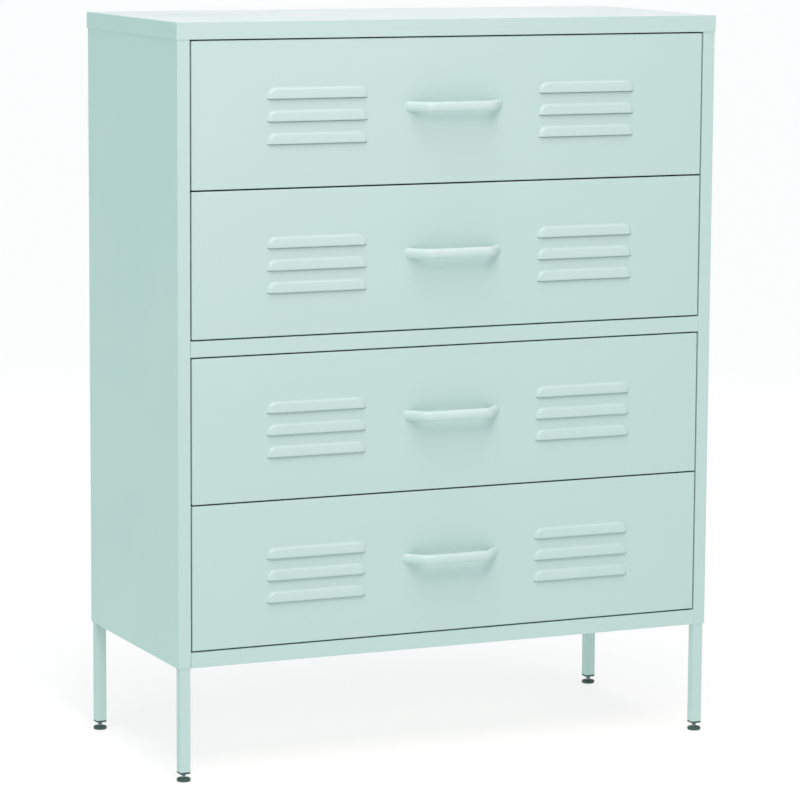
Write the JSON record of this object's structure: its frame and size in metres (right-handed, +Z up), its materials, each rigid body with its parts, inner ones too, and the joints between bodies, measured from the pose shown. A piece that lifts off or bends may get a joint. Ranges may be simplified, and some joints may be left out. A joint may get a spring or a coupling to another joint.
{
  "type": "chest of drawers",
  "caption": "Floor-standing sheet-steel chest with inset louvred drawers on roller runners, bow handles, slim square-tube legs and screw-adjustable feet.",
  "frame": {"origin": "on the floor under the middle of the whole chest's box, handles included", "axes": "+X to the right as one faces the chest, the front looks towards -Y, +Z up"},
  "size_m": [0.8, 0.3784, 1.015],
  "materials": {
    "powder_coat": "satin mint powder coat on sheet steel",
    "zinc_steel": "bright zinc plate",
    "black_plastic": "moulded black plastic",
    "roller_nylon": "natural white nylon"
  },
  "bodies": {
    "cabinet": {"top_panel": "powder_coat", "side_panel_left": "powder_coat", "side_panel_right": "powder_coat", "back_panel": "powder_coat", "bottom_panel": "powder_coat", "centre_rail": "powder_coat", "leg_front_left": "powder_coat", "leg_front_right": "powder_coat", "leg_rear_left": "powder_coat", "leg_rear_right": "powder_coat", "leg_end_plugs": "black_plastic", "cabinet_fasteners": "zinc_steel", "runner_1_channels": "zinc_steel", "runner_2_channels": "zinc_steel", "runner_3_channels": "zinc_steel", "runner_4_channels": "zinc_steel"},
    "drawer_1": {"drawer_1_front": "powder_coat", "drawer_1_inner_front": "powder_coat", "drawer_1_sides": "powder_coat", "drawer_1_bottom": "powder_coat", "drawer_1_back": "powder_coat", "drawer_1_handle": "powder_coat", "drawer_1_fasteners": "zinc_steel", "drawer_1_rails": "zinc_steel"},
    "front_rollers_1": {"runner_1_front_rollers": "roller_nylon"},
    "rear_rollers_1": {"drawer_1_rear_rollers": "roller_nylon"},
    "drawer_2": {"drawer_2_front": "powder_coat", "drawer_2_inner_front": "powder_coat", "drawer_2_sides": "powder_coat", "drawer_2_bottom": "powder_coat", "drawer_2_back": "powder_coat", "drawer_2_handle": "powder_coat", "drawer_2_fasteners": "zinc_steel", "drawer_2_rails": "zinc_steel"},
    "front_rollers_2": {"runner_2_front_rollers": "roller_nylon"},
    "rear_rollers_2": {"drawer_2_rear_rollers": "roller_nylon"},
    "drawer_3": {"drawer_3_front": "powder_coat", "drawer_3_inner_front": "powder_coat", "drawer_3_sides": "powder_coat", "drawer_3_bottom": "powder_coat", "drawer_3_back": "powder_coat", "drawer_3_handle": "powder_coat", "drawer_3_fasteners": "zinc_steel", "drawer_3_rails": "zinc_steel"},
    "front_rollers_3": {"runner_3_front_rollers": "roller_nylon"},
    "rear_rollers_3": {"drawer_3_rear_rollers": "roller_nylon"},
    "drawer_4": {"drawer_4_front": "powder_coat", "drawer_4_inner_front": "powder_coat", "drawer_4_sides": "powder_coat", "drawer_4_bottom": "powder_coat", "drawer_4_back": "powder_coat", "drawer_4_handle": "powder_coat", "drawer_4_fasteners": "zinc_steel", "drawer_4_rails": "zinc_steel"},
    "front_rollers_4": {"runner_4_front_rollers": "roller_nylon"},
    "rear_rollers_4": {"drawer_4_rear_rollers": "roller_nylon"},
    "foot_front_left": {"levelling_foot_front_left": "black_plastic"},
    "foot_front_right": {"levelling_foot_front_right": "black_plastic"},
    "foot_rear_left": {"levelling_foot_rear_left": "black_plastic"},
    "foot_rear_right": {"levelling_foot_rear_right": "black_plastic"}
  },
  "joints": [
    {"name": "drawer_1_slide", "type": "slide", "parent": "cabinet", "child": "drawer_1", "axis": [0, -1, 0], "range_m": [0, 0.22]},
    {"name": "front_rollers_1_spin", "type": "hinge", "parent": "cabinet", "child": "front_rollers_1", "pos_m": [0, -0.12915, 0.82265], "axis": [1, 0, 0], "range_deg": [-1, 1401.6]},
    {"name": "rear_rollers_1_spin", "type": "hinge", "parent": "drawer_1", "child": "rear_rollers_1", "pos_m": [0, 0.14345, 0.81995], "axis": [1, 0, 0], "range_deg": [-1, 1401.6]},
    {"name": "drawer_2_slide", "type": "slide", "parent": "cabinet", "child": "drawer_2", "axis": [0, -1, 0], "range_m": [0, 0.22]},
    {"name": "front_rollers_2_spin", "type": "hinge", "parent": "cabinet", "child": "front_rollers_2", "pos_m": [0, -0.12915, 0.6248], "axis": [1, 0, 0], "range_deg": [-1, 1401.6]},
    {"name": "rear_rollers_2_spin", "type": "hinge", "parent": "drawer_2", "child": "rear_rollers_2", "pos_m": [0, 0.14345, 0.6221], "axis": [1, 0, 0], "range_deg": [-1, 1401.6]},
    {"name": "drawer_3_slide", "type": "slide", "parent": "cabinet", "child": "drawer_3", "axis": [0, -1, 0], "range_m": [0, 0.22]},
    {"name": "front_rollers_3_spin", "type": "hinge", "parent": "cabinet", "child": "front_rollers_3", "pos_m": [0, -0.12915, 0.40365], "axis": [1, 0, 0], "range_deg": [-1, 1401.6]},
    {"name": "rear_rollers_3_spin", "type": "hinge", "parent": "drawer_3", "child": "rear_rollers_3", "pos_m": [0, 0.14345, 0.40095], "axis": [1, 0, 0], "range_deg": [-1, 1401.6]},
    {"name": "drawer_4_slide", "type": "slide", "parent": "cabinet", "child": "drawer_4", "axis": [0, -1, 0], "range_m": [0, 0.22]},
    {"name": "front_rollers_4_spin", "type": "hinge", "parent": "cabinet", "child": "front_rollers_4", "pos_m": [0, -0.12915, 0.2058], "axis": [1, 0, 0], "range_deg": [-1, 1401.6]},
    {"name": "rear_rollers_4_spin", "type": "hinge", "parent": "drawer_4", "child": "rear_rollers_4", "pos_m": [0, 0.14345, 0.2031], "axis": [1, 0, 0], "range_deg": [-1, 1401.6]},
    {"name": "foot_front_left_screw", "type": "slide", "parent": "cabinet", "child": "foot_front_left", "axis": [0, 0, -1], "range_m": [-0.005, 0.01]},
    {"name": "foot_front_right_screw", "type": "slide", "parent": "cabinet", "child": "foot_front_right", "axis": [0, 0, -1], "range_m": [-0.005, 0.01]},
    {"name": "foot_rear_left_screw", "type": "slide", "parent": "cabinet", "child": "foot_rear_left", "axis": [0, 0, -1], "range_m": [-0.005, 0.01]},
    {"name": "foot_rear_right_screw", "type": "slide", "parent": "cabinet", "child": "foot_rear_right", "axis": [0, 0, -1], "range_m": [-0.005, 0.01]}
  ],
  "couplings": [
    {"joint": "front_rollers_1_spin", "follows": "drawer_1_slide", "rad_per_m": 111.11},
    {"joint": "rear_rollers_1_spin", "follows": "drawer_1_slide", "rad_per_m": 111.11},
    {"joint": "front_rollers_2_spin", "follows": "drawer_2_slide", "rad_per_m": 111.11},
    {"joint": "rear_rollers_2_spin", "follows": "drawer_2_slide", "rad_per_m": 111.11},
    {"joint": "front_rollers_3_spin", "follows": "drawer_3_slide", "rad_per_m": 111.11},
    {"joint": "rear_rollers_3_spin", "follows": "drawer_3_slide", "rad_per_m": 111.11},
    {"joint": "front_rollers_4_spin", "follows": "drawer_4_slide", "rad_per_m": 111.11},
    {"joint": "rear_rollers_4_spin", "follows": "drawer_4_slide", "rad_per_m": 111.11}
  ]
}
